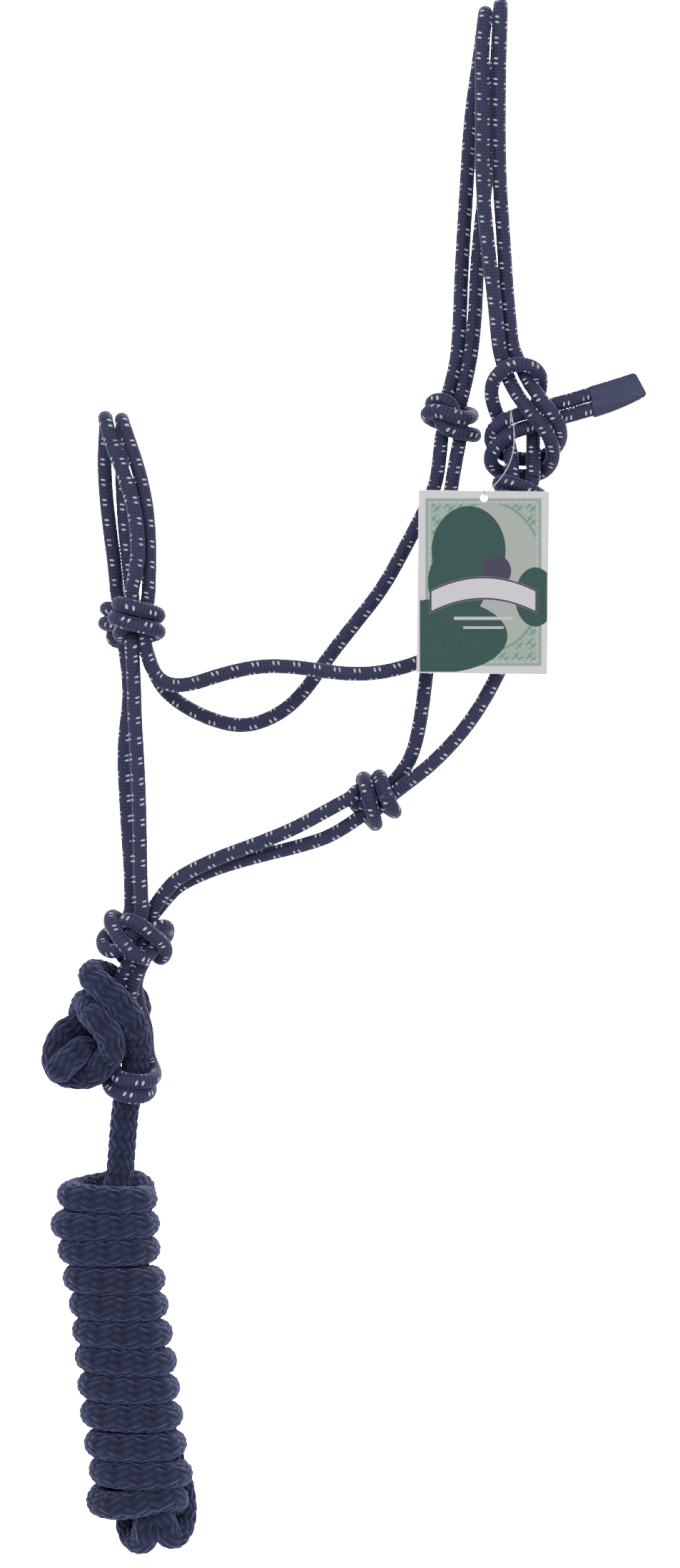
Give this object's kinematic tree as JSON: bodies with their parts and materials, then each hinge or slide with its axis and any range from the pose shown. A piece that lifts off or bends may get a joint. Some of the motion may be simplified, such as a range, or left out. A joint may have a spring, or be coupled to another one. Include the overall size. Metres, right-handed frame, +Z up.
{
  "type": "rope halter with lead rope",
  "caption": "Knotted rope halter hung from its crown fold, with noseband, cheek pieces, throat knot, fiador knot, sleeved tail, hang tag and a tied-on hanked lead rope.",
  "frame": {"origin": "inside of the crown's fold, where a peg or hook holds the halter", "axes": "+Z up, +X from the noseband towards the crown tail, -Y the horse's near side"},
  "size_m": [0.3291, 0.0609, 0.851],
  "materials": {
    "halter_rope": "tightly woven dark navy sheath with pairs of white tracer flecks",
    "lead_rope": "coarse solid braid, dark navy, soft sheen",
    "sleeve": "smooth satin shrink sleeve",
    "tag_card": null,
    "tag_string": "thin pale string"
  },
  "bodies": {
    "halter": {"crown_left_rope": "halter_rope", "crown_right_rope": "halter_rope", "crown_hitch_knot": "halter_rope", "eye_loop_rope": "halter_rope", "off_cheek_knot": "halter_rope", "off_cheek_rope": "halter_rope", "off_throat_rope": "halter_rope", "off_nose_knot": "halter_rope", "off_chin_rope": "halter_rope", "near_cheek_knot": "halter_rope", "near_cheek_rope": "halter_rope", "near_throat_rope": "halter_rope", "near_nose_knot": "halter_rope", "near_chin_rope": "halter_rope", "throat_knot": "halter_rope", "fiador_upper_rope": "halter_rope", "fiador_lower_rope": "halter_rope", "fiador_knot": "halter_rope", "fiador_neck_left_rope": "halter_rope", "fiador_neck_right_rope": "halter_rope", "fiador_loop_rope": "halter_rope", "lead_hitch_rope": "lead_rope", "lead_stopper_knot": "lead_rope"},
    "noseband": {"noseband_outer_rope": "halter_rope", "noseband_inner_rope": "halter_rope"},
    "crown_tail": {"tail_upper_rope": "halter_rope", "tail_lower_rope": "halter_rope", "tail_sleeve": "sleeve"},
    "tag_line": {"tag_string": "tag_string"},
    "tag_card": {"hang_tag": "tag_card"},
    "lead_drop": {"lead_drop_rope": "lead_rope"},
    "lead_coil": {"lead_hank": "lead_rope"}
  },
  "joints": [
    {"name": "noseband_fold", "type": "hinge", "parent": "halter", "child": "noseband", "pos_m": [-0.197, 0, -0.328], "axis": [0, 1, 0], "range_deg": [-35, 35]},
    {"name": "tail_bend", "type": "hinge", "parent": "halter", "child": "crown_tail", "pos_m": [0.035, -0.007, -0.2124], "axis": [0, 1, 0], "range_deg": [-20, 30]},
    {"name": "tag_string_swing", "type": "hinge", "parent": "halter", "child": "tag_line", "pos_m": [0.0092, -0.0238, -0.2135], "axis": [0, 1, 0], "range_deg": [-25, 25]},
    {"name": "tag_flip", "type": "hinge", "parent": "tag_line", "child": "tag_card", "pos_m": [-0.006, -0.032, -0.2613], "axis": [1, 0, 0], "range_deg": [-75, 3]},
    {"name": "lead_swing", "type": "hinge", "parent": "halter", "child": "lead_drop", "pos_m": [-0.2008, 0.001, -0.595], "axis": [0, 1, 0], "range_deg": [-35, 35]},
    {"name": "hank_sway", "type": "hinge", "parent": "lead_drop", "child": "lead_coil", "pos_m": [-0.2037, 0.001, -0.621], "axis": [1, 0, 0], "range_deg": [-20, 20]}
  ]
}
